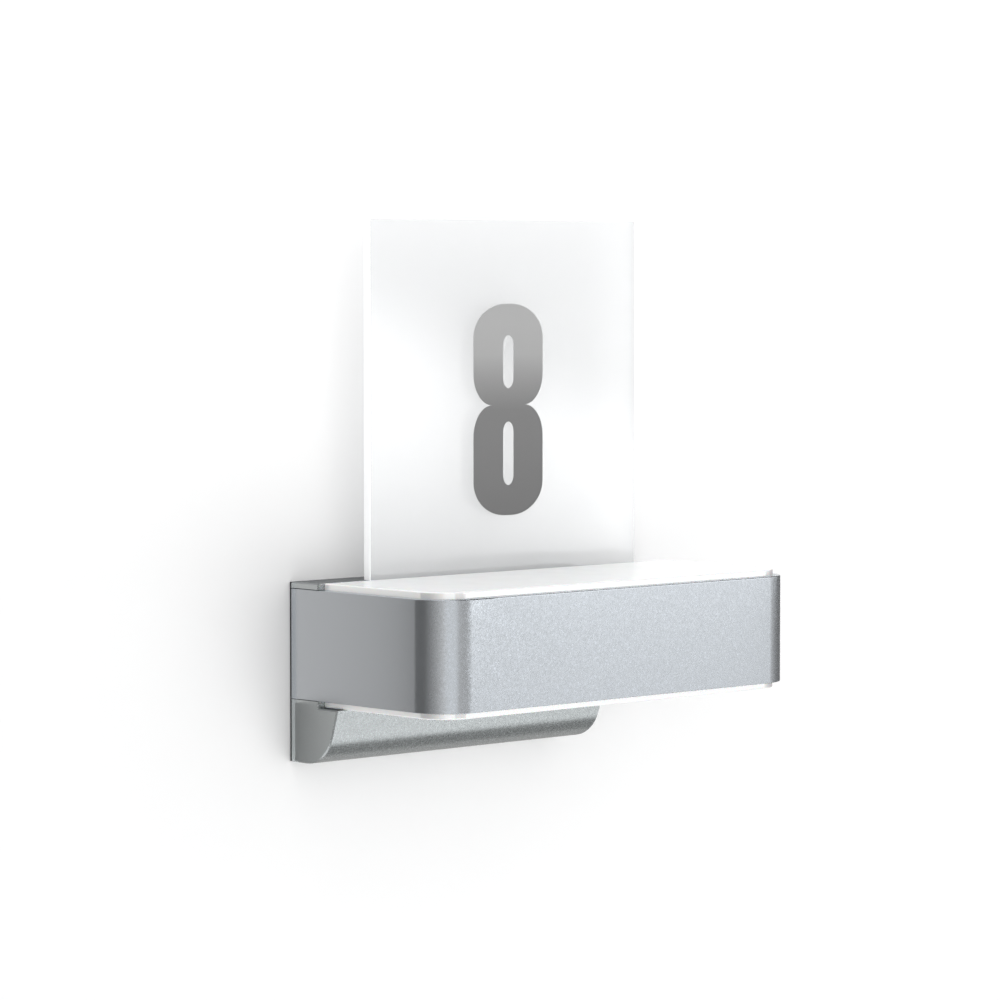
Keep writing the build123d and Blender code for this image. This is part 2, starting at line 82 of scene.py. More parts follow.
def newMaterial(name, **values):  # principled material, constants set on the shader's own sockets
    material = bpy.data.materials.new(name)
    material.use_nodes = True
    tree = material.node_tree
    shader = tree.nodes["Principled BSDF"]
    for key, value in values.items():
        shader.inputs[key.replace("_", " ")].default_value = value
    place = addNode(tree, "ShaderNodeTexCoord").outputs["Object"]
    return material, tree, shader, place


def addPiece(name, mesh, body, slot, *replaced):  # a mesh in place becomes a piece that rides a body
    piece = bpy.data.objects.new(name, mesh)
    bpy.context.scene.collection.objects.link(piece)
    mesh.materials.clear()
    mesh.materials.append(finishes[slot])
    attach(piece, body)
    if replaced:
        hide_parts(*replaced)
    return piece


def bakeModifiers(holder):  # plain mesh of an object with its modifiers, which then goes
    graph = bpy.context.evaluated_depsgraph_get()
    mesh = bpy.data.meshes.new_from_object(holder.evaluated_get(graph))
    mesh.name = holder.name
    bpy.data.objects.remove(holder)
    return mesh


def smoothShade(mesh, sharpAngle=0.6):  # smooth rounds, crisp edges, and flats kept flat by weighting
    mesh.shade_smooth()
    mesh.set_sharp_from_angle(angle=sharpAngle)
    holder = bpy.data.objects.new(mesh.name, mesh)
    bpy.context.scene.collection.objects.link(holder)
    holder.modifiers.new("weights", "WEIGHTED_NORMAL").keep_sharp = True
    return bakeModifiers(holder)


def skinRings(name, rings):  # closed shell over rings of points, capped at the first and the last ring
    mesh = bpy.data.meshes.new(name)
    bm = bmesh.new()
    rows = [[bm.verts.new(point) for point in ring] for ring in rings]
    count = len(rows[0])
    for near, far in zip(rows, rows[1:]):
        for i in range(count):
            j = (i + 1) % count
            bm.faces.new((near[i], near[j], far[j], far[i]))
    bm.faces.new(rows[0])
    bm.faces.new(rows[-1])
    bmesh.ops.recalc_face_normals(bm, faces=bm.faces)
    bm.to_mesh(mesh)
    bm.free()
    return smoothShade(mesh)


# Materials of what shows, with pattern sizes in mm; real flakes are finer, these are coarse enough to show

bandPaint = {
    "flake": 0.7, "tilt": 0.045, "roughness": (0.21, 0.3), "metallic": 0.92, "ends": 0.15, "paintedTopShade": 0.0,
    "stops": [(0.0, "#BABFC4"), (0.5, "#BEC3C8"), (0.85, "#C0C5CB"), (1.0, "#C8CED5")],
}
housingPaint = {
    "flake": 0.6, "tilt": 0.035, "roughness": (0.21, 0.3), "metallic": 0.72, "ends": 0.15, "paintedTopShade": 1.0,
    "stops": [(0.0, "#B0B5B6"), (0.5, "#BABFC0"), (1.0, "#C6CCCD")],
}
paintedShadeTone = {"colour": "#66696B", "roughness": 0.6}  # dark matt grey painted on level tops as shade
faceTurns = {"front": (-0.3, -0.75), "top": (0.4, 0.9)}  # the turn of a face from an end to the front or the top


def flakePaint(name, paint):  # silver powder coat: aluminium flakes in a clear binder, so it glitters
    material, tree, shader, place = newMaterial(name)
    normal = addNode(tree, "ShaderNodeNewGeometry").outputs["Normal"]
    facing = addNode(tree, "ShaderNodeSeparateXYZ", {0: normal}).outputs
    coarse = addNode(tree, "ShaderNodeMapRange", {  # sprayed from the front, so grainier there
        "Value": facing["Y"], "From Min": faceTurns["front"][0], "From Max": faceTurns["front"][1],
        "To Min": paint["ends"], "To Max": 1.0}).outputs["Result"]
    paintedTopShade = addNode(tree, "ShaderNodeMapRange", {  # painted shade: level tops turn dark grey and matt, for the shade between the panel, the tray and the wall
        "Value": facing["Z"], "From Min": faceTurns["top"][0], "From Max": faceTurns["top"][1],
        "To Max": paint["paintedTopShade"]}).outputs["Result"]
    flakes = addNode(tree, "ShaderNodeTexVoronoi", {"Vector": place, "Scale": 1 / (paint["flake"] * mm)})
    even = (0.5, 0.5, 0.5)
    grain = addNode(tree, "ShaderNodeVectorMath", {0: flakes.outputs["Color"], 1: even}, operation="SUBTRACT")
    grain = addNode(tree, "ShaderNodeVectorMath", {0: grain.outputs[0], "Scale": coarse}, operation="SCALE")
    grain = grain.outputs[0]
    share = addNode(tree, "ShaderNodeVectorMath", {0: grain, 1: even}, operation="ADD").outputs[0]
    parts = addNode(tree, "ShaderNodeSeparateXYZ", {0: share}).outputs
    tone = setRamp(addNode(tree, "ShaderNodeValToRGB", {"Fac": parts["X"]}), paint["stops"])
    colour = addNode(tree, "ShaderNodeMix", {0: paintedTopShade, 6: tone, 7: hexColour(paintedShadeTone["colour"])},
                     data_type="RGBA")
    tree.links.new(colour.outputs[2], shader.inputs["Base Color"])
    low, high = paint["roughness"]
    gloss = addNode(tree, "ShaderNodeMapRange", {"Value": parts["Y"], "To Min": low, "To Max": high})
    rough = addNode(tree, "ShaderNodeMix", {0: paintedTopShade, 2: gloss.outputs["Result"], 3: paintedShadeTone["roughness"]})
    tree.links.new(rough.outputs[0], shader.inputs["Roughness"])
    metal = addNode(tree, "ShaderNodeMapRange", {"Value": paintedTopShade, "To Min": paint["metallic"], "To Max": 0.0})
    tree.links.new(metal.outputs["Result"], shader.inputs["Metallic"])
    lean = addNode(tree, "ShaderNodeVectorMath", {0: grain, "Scale": paint["tilt"]}, operation="SCALE")
    leant = addNode(tree, "ShaderNodeVectorMath", {0: normal, 1: lean.outputs[0]}, operation="ADD")
    leant = addNode(tree, "ShaderNodeVectorMath", {0: leant.outputs[0]}, operation="NORMALIZE")
    tree.links.new(leant.outputs[0], shader.inputs["Normal"])  # no two flakes lie alike
    return material


opal = {
    "colour": "#F3F4F4", "index": 1.49, "milk": 0.2, "depth": 2.0, "ripple": 14.0, "gloss": (0.08, 0.14),
    "glow": 0.1, "rim": 0.5, "upright": (0.2, 0.7),
}


def opalAcrylic():  # cast opal acrylic: milky white that takes light in, under a high gloss
    material, tree, shader, place = newMaterial(
        "opalAcrylic", Base_Color=hexColour(opal["colour"]), IOR=opal["index"],
        Subsurface_Weight=opal["milk"], Subsurface_Scale=opal["depth"] * mm,
        Emission_Color=hexColour(opal["colour"]),
        Emission_Strength=opal["glow"])  # painted glow: the trays give off a little light though no lamp is lit, standing in for light scattered through them from the other sides
    ripple = addNode(tree, "ShaderNodeTexNoise", {"Vector": place, "Scale": 1 / (opal["ripple"] * mm)})
    gloss = addNode(tree, "ShaderNodeMapRange", {
        "Value": ripple.outputs["Fac"], "To Min": opal["gloss"][0], "To Max": opal["gloss"][1]})
    tree.links.new(gloss.outputs["Result"], shader.inputs["Roughness"])
    normal = addNode(tree, "ShaderNodeNewGeometry").outputs["Normal"]
    upward = addNode(tree, "ShaderNodeSeparateXYZ", {0: normal}).outputs["Z"]
    upright = addNode(tree, "ShaderNodeMath", {0: upward}, operation="ABSOLUTE").outputs[0]
    mirror = addNode(tree, "ShaderNodeMapRange", {  # the polished rim mirrors from within too
        "Value": upright, "From Min": opal["upright"][0], "From Max": opal["upright"][1],
        "To Min": opal["rim"], "To Max": 0.0})
    tree.links.new(mirror.outputs["Result"], shader.inputs["Metallic"])
    return material


clearSheet = {
    "faceColour": "#ECEDEE", "edgeColour": "#F8F9FA", "face": 0.42, "edge": 0.97, "shade": 0.02, "glow": 0.18,
    "gloss": 0.06, "index": 1.8, "turn": (0.8, 0.95),  # the index stands for both faces, which mirror
}


def clearAcrylic():  # clear acrylic sheet: faces let the wall through, sawn edges are whiter and carry a painted glow
    material, tree, shader, _ = newMaterial(
        "clearAcrylic", Roughness=clearSheet["gloss"], IOR=clearSheet["index"])
    fromEdge, toFace = clearSheet["turn"]
    normal = addNode(tree, "ShaderNodeNewGeometry").outputs["True Normal"]
    across = addNode(tree, "ShaderNodeSeparateXYZ", {0: normal}).outputs["Y"]
    across = addNode(tree, "ShaderNodeMath", {0: across}, operation="ABSOLUTE").outputs[0]
    tint = addNode(tree, "ShaderNodeValToRGB", {"Fac": across})
    tint = setRamp(tint, [(fromEdge, clearSheet["edgeColour"]), (toFace, clearSheet["faceColour"])])
    tree.links.new(tint, shader.inputs["Base Color"])
    veil = addNode(tree, "ShaderNodeMapRange", {
        "Value": across, "From Min": fromEdge, "From Max": toFace,
        "To Min": clearSheet["edge"], "To Max": clearSheet["face"]})
    shadow = addNode(tree, "ShaderNodeLightPath").outputs["Is Shadow Ray"]
    passing = addNode(tree, "ShaderNodeMapRange", {
        "Value": shadow, "To Min": 1.0, "To Max": clearSheet["shade"]})
    cover = addNode(tree, "ShaderNodeMath", {0: veil.outputs["Result"], 1: passing.outputs["Result"]},
                    operation="MULTIPLY")
    tree.links.new(cover.outputs[0], shader.inputs["Alpha"])
    # painted glow on the sawn edges, fading out where the edge turns into the face
    glow = addNode(tree, "ShaderNodeMapRange", {
        "Value": across, "From Min": fromEdge, "From Max": toFace,
        "To Min": clearSheet["glow"], "To Max": 0.0})
    tree.links.new(glow.outputs["Result"], shader.inputs["Emission Strength"])
    return material


# Materials of the inside and the back: name, two tones, grain in mm, roughness, metallic and relief in mm

plainFinishes = {
    "grey_moulding": ("greyAbs", "#8B8E91", "#95989B", 0.9, 0.45, 0.0, 0.05),  # ABS, fine spark texture
    "seal_rubber": ("blackEpdm", "#151617", "#202123", 0.7, 0.75, 0.0, 0.08),  # EPDM rubber, matt
    "terminal_moulding": ("whitePolyamide", "#DEDDD5", "#E8E7E0", 1.2, 0.5, 0.0, 0.03),  # moulded, satin
    "ferrite": ("ferrite", "#232325", "#303033", 0.5, 0.6, 0.0, 0.1),  # sintered, slightly porous
    "winding_tape": ("polyesterTape", "#C99A12", "#DDB02A", 2.5, 0.3, 0.0, 0.03),  # wound film, glossy
    "capacitor_sleeve": ("shrinkSleeve", "#14151D", "#1D1F29", 2.0, 0.3, 0.0, 0.02),  # shrunk film, glossy
    "potentiometer_blue": ("blueThermoset", "#1B3C8C", "#2447A0", 1.0, 0.45, 0.0, 0.03),  # moulded, satin
    "dial_white": ("whiteAbs", "#D6D6D1", "#E0E0DC", 0.8, 0.4, 0.0, 0.03),  # moulded ABS, satin
    "dial_print": ("padPrint", "#F0F0EE", "#F6F6F4", 0.5, 0.6, 0.0, 0.02),  # thin matt ink
    "diode": ("phosphorGel", "#E8C738", "#F4DA5C", 0.8, 0.3, 0.0, 0.02),  # cast silicone, glossy
    "board_white": ("whiteResist", "#E9E9E4", "#F2F2EE", 3.0, 0.35, 0.0, 0.02),  # smooth lacquer
    "board_green": ("greenResist", "#0E4425", "#1A6338", 2.2, 0.35, 0.0, 0.06),  # lacquer over copper, uneven
    "fastener_steel": ("zincSteel", "#A9ACB1", "#BFC2C7", 0.6, 0.32, 1.0, 0.03),  # plated, softly bright
    "shield_tin": ("tinPlate", "#B9BABA", "#CDCECE", 1.5, 0.28, 1.0, 0.02),  # tinned sheet, cloudy mirror
    "spreader_metal": ("rolledAluminium", "#C2C4C6", "#D2D4D6", 1.0, 0.36, 1.0, 0.03),  # mill finish, dull
}
mottling = {"detail": 3.0, "tones": (0.3, 0.7), "glossSpread": 0.06, "bump": 0.6}  # coarse enough to show


def grainFinish(name, dark, light, grain, roughness, metallic, relief):  # mottled colour, gloss and relief
    material, tree, shader, place = newMaterial(name, Metallic=metallic)
    mottle = addNode(tree, "ShaderNodeTexNoise", {
        "Vector": place, "Scale": 1 / (grain * mm), "Detail": mottling["detail"]}).outputs["Fac"]
    tone = addNode(tree, "ShaderNodeValToRGB", {"Fac": mottle})
    stops = list(zip(mottling["tones"], (dark, light)))
    tree.links.new(setRamp(tone, stops), shader.inputs["Base Color"])
    gloss = addNode(tree, "ShaderNodeMapRange", {
        "Value": mottle, "To Min": roughness - mottling["glossSpread"],
        "To Max": roughness + mottling["glossSpread"]})
    tree.links.new(gloss.outputs["Result"], shader.inputs["Roughness"])
    bump = addNode(tree, "ShaderNodeBump", {
        "Height": mottle, "Strength": mottling["bump"], "Distance": relief * mm})
    tree.links.new(bump.outputs["Normal"], shader.inputs["Normal"])
    return material


spangle = {
    "crystal": 6.0, "wander": 2.2, "detail": 4.0, "gloss": (0.3, 0.5),
    "grit": 0.35, "relief": 0.02, "bump": 0.4,
    "stops": [(0.0, "#A1A7AD"), (0.45, "#ABB1B7"), (0.8, "#B4BAC0"), (1.0, "#C2C8CD")],
}


def galvanisedSteel():  # hot-dip zinc on sheet: crooked crystals, each with its own shade and gloss
    material, tree, shader, place = newMaterial("galvanisedSteel", Metallic=1.0)
    wander = spangle["wander"] * mm
    drift = addNode(tree, "ShaderNodeTexNoise", {
        "Vector": place, "Scale": 1 / wander, "Detail": spangle["detail"]})
    drift = addNode(tree, "ShaderNodeVectorMath", {0: drift.outputs["Color"], "Scale": wander},
                    operation="SCALE")
    bent = addNode(tree, "ShaderNodeVectorMath", {0: place, 1: drift.outputs[0]}, operation="ADD").outputs[0]
    crystals = addNode(tree, "ShaderNodeTexVoronoi", {"Vector": bent, "Scale": 1 / (spangle["crystal"] * mm)})
    parts = addNode(tree, "ShaderNodeSeparateColor", {"Color": crystals.outputs["Color"]}).outputs
    tone = addNode(tree, "ShaderNodeValToRGB", {"Fac": parts["Red"]})
    tree.links.new(setRamp(tone, spangle["stops"]), shader.inputs["Base Color"])
    gloss = addNode(tree, "ShaderNodeMapRange", {
        "Value": parts["Green"], "To Min": spangle["gloss"][0], "To Max": spangle["gloss"][1]})
    tree.links.new(gloss.outputs["Result"], shader.inputs["Roughness"])
    grit = addNode(tree, "ShaderNodeTexNoise", {"Vector": place, "Scale": 1 / (spangle["grit"] * mm)})
    bump = addNode(tree, "ShaderNodeBump", {
        "Height": grit.outputs["Fac"], "Strength": spangle["bump"], "Distance": spangle["relief"] * mm})
    tree.links.new(bump.outputs["Normal"], shader.inputs["Normal"])
    return material


finishes = {slot: grainFinish(*values) for slot, values in plainFinishes.items()}
finishes["plate_steel"] = galvanisedSteel()
finishes["band_paint"] = flakePaint("silverFlakeCoat", bandPaint)
finishes["housing_paint"] = flakePaint("silverFlakePaint", housingPaint)
finishes["opal_acrylic"] = opalAcrylic()
finishes["clear_acrylic"] = clearAcrylic()
for row in frame["record"]["subparts"]:
    mesh = nodes[row["node"]].data
    mesh.materials.clear()
    mesh.materials.append(finishes[row["material_slot"]])
print("materials made:", len(finishes))


# Lamp head: the bent band and the two opal trays, with softly rounded edges

headPlan = {"cornerRadius": 18.5 * mm, "cornerSteps": 20}
bandShape = {"wall": 3.2 * mm, "lowRim": 0.25 * mm, "highRim": 0.75 * mm, "rimSteps": 6}
trayShape = {"inset": 3.6 * mm, "wall": 2.0 * mm, "edge": 0.7 * mm, "edgeSteps": 5}
bandLow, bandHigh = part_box("head_band")


def headOutline(inset, backLeft, backRight):  # plan points of the head, drawn in from the band's outside
    radius = headPlan["cornerRadius"]
    points = [(bandLow.x + inset, backLeft)]
    for middle, start in ((bandLow.x + radius, pi), (bandHigh.x - radius, 1.5 * pi)):
        for step in range(headPlan["cornerSteps"] + 1):
            angle = start + step / headPlan["cornerSteps"] * pi / 2
            points.append((middle + (radius - inset) * cos(angle),
                           bandLow.y + radius + (radius - inset) * sin(angle)))
    points.append((bandHigh.x - inset, backRight))
    return points


def bandSection():  # (inset, height) round the band's wall, with rounded rims
    wall, steps = bandShape["wall"], bandShape["rimSteps"]
    low, high = bandShape["lowRim"], bandShape["highRim"]
    rims = [
        (low, bandLow.z + low, low, pi),
        (wall - low, bandLow.z + low, low, 1.5 * pi),
        (wall - high, bandHigh.z - high, high, 0),
        (high, bandHigh.z - high, high, 0.5 * pi),
    ]
    points = []
    for inset, height, radius, start in rims:
        for step in range(steps + 1):
            angle = start + step / steps * pi / 2
            points.append((inset + radius * cos(angle), height + radius * sin(angle)))
    return points


def makeBand():  # the section runs round the plan; the right arm stops at the frame's back
    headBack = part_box("head_frame")[1].y
    runs = []
    for inset, height in bandSection():
        runs.append([(x, y, height) for x, y in headOutline(inset, bandHigh.y, headBack)])
    return skinRings("headBandShell", list(zip(*runs)))


def makeTray(name, node):  # open tray with a skirt inside the band and a rounded outer edge
    low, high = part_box(node)
    upward = node.startswith("upper")
    top, rim, foot = (high.z, bandHigh.z, low.z) if upward else (low.z, bandLow.z, high.z)
    inset, wall, edge = trayShape["inset"], trayShape["wall"], trayShape["edge"]
    outward = 1 if upward else -1
    profile = [(inset + wall, rim), (inset + wall, foot), (inset, foot)]
    for step in range(trayShape["edgeSteps"] + 1):
        angle = step / trayShape["edgeSteps"] * pi / 2
        profile.append((inset + edge - edge * cos(angle), top - outward * edge * (1 - sin(angle))))
    rings = []
    for drawnIn, height in profile:
        back = high.y - (drawnIn - inset)
        rings.append([(x, y, height) for x, y in headOutline(drawnIn, back, back)])
    return skinRings(name, rings)


addPiece("headBandShell", makeBand(), "base", "band_paint", "head_band")
for name, node in (("upperTray", "upper_diffuser"), ("lowerTray", "lower_diffuser")):
    addPiece(name, makeTray(name, node), "base", "opal_acrylic", node)
print("lamp head dressed")


# House number: a figure cut from thin film, on the panel's front

figure = {
    "middle": 33.8 * mm, "halfWidth": 22.45 * mm, "waistHalf": 10.4 * mm,
    "top": 168.9 * mm, "waist": 121.0 * mm, "bottom": 68.5 * mm,
    "endRound": (20.5 * mm, 16.0 * mm), "waistRound": 15.0 * mm, "steps": 14,
    "slotHalf": 3.5 * mm, "slotRound": 5.0 * mm, "slots": [(128.9 * mm, 154.1 * mm), (82.8 * mm, 113.0 * mm)],
    "thickness": 0.15 * mm,
}
film = {
    "gloss": 0.35,
    # tones from the foot to the top of the figure; the rise towards the top is a painted reflection
    "stops": [(0.0, "#616161"), (0.5, "#6B6B6B"), (0.64, "#848484"), (0.76, "#9B9B9B"), (0.9, "#A0A0A0")],
}


def greyFilm():  # self-adhesive silver-grey film, satin, lighter towards the top as a painted reflection
    material, tree, shader, place = newMaterial("greyFilm", Roughness=film["gloss"], Metallic=0.0)
    height = addNode(tree, "ShaderNodeSeparateXYZ", {0: place}).outputs["Z"]
    share = addNode(tree, "ShaderNodeMapRange", {
        "Value": height, "From Min": figure["bottom"], "From Max": figure["top"]})
    tone = addNode(tree, "ShaderNodeValToRGB", {"Fac": share.outputs["Result"]})
    tree.links.new(setRamp(tone, film["stops"]), shader.inputs["Base Color"])
    return material


def quarter(centre, reach, start, turn=1):  # quarter of an ellipse from the start angle
    points = []
    for step in range(figure["steps"] + 1):
        angle = start + turn * step / figure["steps"] * pi / 2
        points.append((centre[0] + reach[0] * cos(angle), centre[1] + reach[1] * sin(angle)))
    return points


def figureOutline():  # right half from the top to the bottom, then its mirror image back up
    half, waist = figure["halfWidth"], figure["waist"]
    endX, endZ = figure["endRound"]
    waistX, waistZ = half - figure["waistHalf"], figure["waistRound"]
    right = quarter((half - endX, figure["top"] - endZ), (endX, endZ), pi / 2, -1)
    right += quarter((half - waistX, waist + waistZ), (waistX, waistZ), 0, -1)
    right += quarter((half - waistX, waist - waistZ), (waistX, waistZ), pi / 2, -1)[1:]
    right += quarter((half - endX, figure["bottom"] + endZ), (endX, endZ), 0, -1)
    return right + [(-x, z) for x, z in reversed(right)]


def slotOutline(low, high):  # upright slot with rounded ends
    reach = (figure["slotHalf"], figure["slotRound"])
    points = []
    for height, start in ((high - reach[1], 0), (low + reach[1], pi)):
        points += quarter((0, height), reach, start)
        points += quarter((0, height), reach, start + pi / 2)[1:]
    return points


def makeFigure():  # outline and slots filled, then given the film's thickness
    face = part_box("number_panel")[0].y
    bm = bmesh.new()
    for outline in [figureOutline()] + [slotOutline(*slot) for slot in figure["slots"]]:
        verts = [bm.verts.new((figure["middle"] + x, face, z)) for x, z in outline]
        for near, far in zip(verts, verts[1:] + verts[:1]):
            bm.edges.new((near, far))
    bmesh.ops.triangle_fill(bm, use_beauty=True, use_dissolve=False, edges=bm.edges[:])
    grown = bmesh.ops.extrude_face_region(bm, geom=bm.faces[:])
    moved = [item for item in grown["geom"] if isinstance(item, bmesh.types.BMVert)]
    bmesh.ops.translate(bm, verts=moved, vec=(0, -figure["thickness"], 0))
    bmesh.ops.recalc_face_normals(bm, faces=bm.faces)
    mesh = bpy.data.meshes.new("figureEight")
    bm.to_mesh(mesh)
    bm.free()
    return mesh


finishes["figure_foil"] = greyFilm()
eight = addPiece("figureEight", makeFigure(), "number_panel", "figure_foil")
eight.visible_shadow = False  # in light this soft the small figure leaves no shadow on the wall behind
print("figure placed on the panel")


# Setting dials: printed scales round them, laid on the curve of the housing's underside

dialScale = {
    "Marks": 11, "Radius": 6.2 * mm, "Sweep": 1.5 * pi, "Start": -1.25 * pi,  # open towards the wall
    "Length": 1.6 * mm, "Width": 0.45 * mm, "Film": 0.1 * mm,
}
dialPress = {"markPoints": 5, "from": (0, 0, -0.1), "reach": 0.2}  # pressed on from below the housing


def scaleTree():  # marks on an arc round each point, then pushed up to the housing's surface
    tree = bpy.data.node_groups.new("dialScaleTree", "GeometryNodeTree")
    addSocket = tree.interface.new_socket
    addSocket("Points", in_out="INPUT", socket_type="NodeSocketGeometry")
    for key, value in dialScale.items():
        kind = "NodeSocketInt" if isinstance(value, int) else "NodeSocketFloat"
        addSocket(key, in_out="INPUT", socket_type=kind)
    addSocket("Housing", in_out="INPUT", socket_type="NodeSocketObject")
    addSocket("Print", in_out="INPUT", socket_type="NodeSocketMaterial")
    addSocket("Scales", in_out="OUTPUT", socket_type="NodeSocketGeometry")
    given = addNode(tree, "NodeGroupInput").outputs
    arc = addNode(tree, "GeometryNodeCurveArc", {
        "Resolution": given["Marks"], "Radius": given["Radius"],
        "Start Angle": given["Start"], "Sweep Angle": given["Sweep"]})
    size = addNode(tree, "ShaderNodeCombineXYZ", {
        "X": given["Length"], "Y": given["Width"], "Z": given["Film"]})
    mark = addNode(tree, "GeometryNodeMeshCube", {
        "Size": size.outputs[0], "Vertices X": dialPress["markPoints"]})
    place = addNode(tree, "GeometryNodeInputPosition").outputs[0]
    outward = addNode(tree, "FunctionNodeAlignRotationToVector", {"Vector": place}, axis="X")
    marks = addNode(tree, "GeometryNodeInstanceOnPoints", {
        "Points": arc.outputs["Curve"], "Rotation": outward.outputs[0], "Instance": mark.outputs["Mesh"]})
    scales = addNode(tree, "GeometryNodeInstanceOnPoints", {
        "Points": given["Points"], "Instance": marks.outputs[0]})
    flat = addNode(tree, "GeometryNodeRealizeInstances", {"Geometry": scales.outputs[0]})
    housing = addNode(tree, "GeometryNodeObjectInfo", {"Object": given["Housing"]})
    start = addNode(tree, "ShaderNodeVectorMath", {0: place, 1: (1, 1, 0), 2: dialPress["from"]},
                    operation="MULTIPLY_ADD")
    ray = addNode(tree, "GeometryNodeRaycast", {
        "Target Geometry": housing.outputs["Geometry"], "Ray Length": dialPress["reach"],
        "Source Position": start.outputs[0], "Ray Direction": (0, 0, 1)})
    height = addNode(tree, "ShaderNodeVectorMath", {0: place, 1: (0, 0, 1), 2: ray.outputs["Hit Position"]},
                     operation="MULTIPLY_ADD")
    laid = addNode(tree, "GeometryNodeSetPosition", {
        "Geometry": flat.outputs[0], "Position": height.outputs[0]})
    printed = addNode(tree, "GeometryNodeSetMaterial", {
        "Geometry": laid.outputs[0], "Material": given["Print"]})
    addNode(tree, "NodeGroupOutput", {"Scales": printed.outputs[0]})
    return tree


def makeScales():  # one point in line with each dial, round which the tree makes its scale
    centres = [sum(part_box(name), Vector()) / 2 for name in ("reach_dial", "time_dial", "twilight_dial")]
    mesh = bpy.data.meshes.new("dialScales")
    mesh.from_pydata([(centre.x, centre.y, 0) for centre in centres], [], [])
    holder = bpy.data.objects.new("dialScales", mesh)
    bpy.context.scene.collection.objects.link(holder)
    modifier = holder.modifiers.new("scales", "NODES")
    modifier.node_group = scaleTree()
    values = dict(dialScale, Housing=nodes["wall_housing"], Print=finishes["dial_print"])
    for item in modifier.node_group.interface.items_tree:
        if item.in_out == "INPUT" and item.name in values:
            modifier[item.identifier] = values[item.name]
    return bakeModifiers(holder)


addPiece("dialScales", makeScales(), "base", "dial_print")
print("dial scales printed")


# Stage: white wall behind the object and a pale floor below, both open from behind

# the lift is light painted on the wall where it is seen; it rises with height over the span, so the shade
# near the top of the panel fades
stagePaint = {"colour": "#EBEBEB", "paintedLift": (0.085, 0.19), "span": (0.05, 0.2), "skin": 1.2 * mm}
room = {"half": 3.0, "floor": -1.2, "ceiling": 3.0, "gap": 0.4 * mm}


def bareMaterial(name):  # material without nodes, for the stage
    material = bpy.data.materials.new(name)
    material.use_nodes = True
    material.node_tree.nodes.clear()
    return material, material.node_tree


def seenShare(tree, path):  # 1 for rays from the camera, off a gloss or through a clear sheet, 0 for others
    share = path["Is Camera Ray"]
    for kind in ("Is Glossy Ray", "Is Transmission Ray"):
        share = addNode(tree, "ShaderNodeMath", {0: share, 1: path[kind]}, operation="MAXIMUM").outputs[0]
    return share


def stageMaterial():  # matt white paint, lifted to white where it is seen, and lifted more behind the panel than below it: painted light that washes out the shade above the head
    material, tree = bareMaterial("studioPaint")
    path = addNode(tree, "ShaderNodeLightPath").outputs
    surface = addNode(tree, "ShaderNodeNewGeometry").outputs
    height = addNode(tree, "ShaderNodeSeparateXYZ", {0: surface["Position"]}).outputs["Z"]
    level = addNode(tree, "ShaderNodeMapRange", {
        "Value": height, "From Min": stagePaint["span"][0], "From Max": stagePaint["span"][1],
        "To Min": stagePaint["paintedLift"][0], "To Max": stagePaint["paintedLift"][1]}).outputs["Result"]
    paintedLift = addNode(tree, "ShaderNodeMath", {0: seenShare(tree, path), 1: level}, operation="MULTIPLY")
    glow = addNode(tree, "ShaderNodeEmission", {"Strength": paintedLift.outputs[0]})
    paint = addNode(tree, "ShaderNodeBsdfDiffuse", {"Color": hexColour(stagePaint["colour"])})
    both = addNode(tree, "ShaderNodeAddShader", {0: paint.outputs[0], 1: glow.outputs[0]})
    near = addNode(tree, "ShaderNodeMath", {0: path["Ray Length"], 1: stagePaint["skin"]},
                   operation="LESS_THAN").outputs[0]  # rays that start at the object's back pass
    opening = addNode(tree, "ShaderNodeMath", {0: near, 1: surface["Backfacing"]}, operation="MAXIMUM")
    clear = addNode(tree, "ShaderNodeBsdfTransparent")
    mix = addNode(tree, "ShaderNodeMixShader", {
        0: opening.outputs[0], 1: both.outputs[0], 2: clear.outputs[0]})
    addNode(tree, "ShaderNodeOutputMaterial", {"Surface": mix.outputs[0]})
    return material


def addSheet(name, corners, material):  # flat four-cornered stage sheet, facing by the corners' order
    mesh = bpy.data.meshes.new(name)
    mesh.from_pydata(corners, [], [(0, 1, 2, 3)])
    mesh.materials.append(material)
    sheet = bpy.data.objects.new(name, mesh)
    bpy.context.scene.collection.objects.link(sheet)
    return sheet


def addRoom():
    paint = stageMaterial()
    half, low, high, gap = room["half"], room["floor"], room["ceiling"], room["gap"]
    wall = [(-half, gap, low), (half, gap, low), (half, gap, high), (-half, gap, high)]
    floor = [(-half, -half, low), (half, -half, low), (half, half, low), (-half, half, low)]
    addSheet("studioWall", wall, paint)
    addSheet("studioFloor", floor, paint)


addRoom()


# Flags, which only reflections see, draw the stripes on the bent corner and the nose and even out the front

